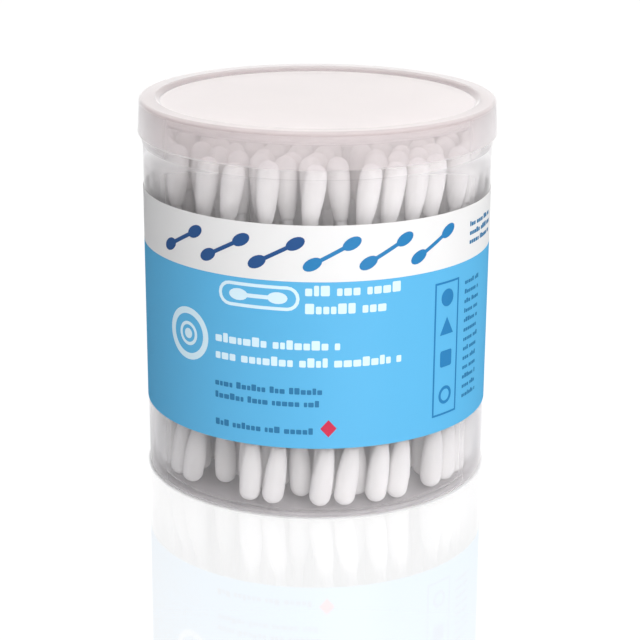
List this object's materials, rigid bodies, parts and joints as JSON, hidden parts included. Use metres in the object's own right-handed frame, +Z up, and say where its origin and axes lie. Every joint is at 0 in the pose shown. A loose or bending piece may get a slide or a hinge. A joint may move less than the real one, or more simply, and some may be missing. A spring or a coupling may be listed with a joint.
{
  "type": "cotton swab tub",
  "caption": "Round see-through tub with a press-on lid and a wrap label, filled with upright cotton swabs.",
  "frame": {"origin": "centre of the face that the tub stands on", "axes": "+Z up along the tub's axis, -Y towards the front of the label"},
  "size_m": [0.0772, 0.0772, 0.0823],
  "materials": {
    "frosted_tub": "milky see-through moulded plastic with a soft gloss",
    "frosted_lid": "milky see-through moulded plastic with a soft gloss",
    "label_film": "printed film, white above and sky blue below",
    "stick_plastic": "white moulded plastic",
    "cotton": "white wound cotton"
  },
  "bodies": {
    "tub_body": {"tub": "frosted_tub", "label": "label_film", "sticks_ring_1": "stick_plastic", "upper_cotton_ring_1": "cotton", "lower_cotton_ring_1": "cotton", "sticks_ring_2": "stick_plastic", "upper_cotton_ring_2": "cotton", "lower_cotton_ring_2": "cotton", "sticks_ring_3": "stick_plastic", "upper_cotton_ring_3": "cotton", "lower_cotton_ring_3": "cotton", "sticks_ring_4": "stick_plastic", "upper_cotton_ring_4": "cotton", "lower_cotton_ring_4": "cotton", "sticks_ring_5": "stick_plastic", "upper_cotton_ring_5": "cotton", "lower_cotton_ring_5": "cotton", "sticks_ring_6": "stick_plastic", "upper_cotton_ring_6": "cotton", "lower_cotton_ring_6": "cotton", "sticks_ring_7": "stick_plastic", "upper_cotton_ring_7": "cotton", "lower_cotton_ring_7": "cotton"},
    "lid_body": {"lid": "frosted_lid"}
  },
  "joints": [
    {"name": "lid_lift", "type": "slide", "parent": "tub_body", "child": "lid_body", "axis": [0, 0, 1], "range_m": [0, 0.09]}
  ]
}
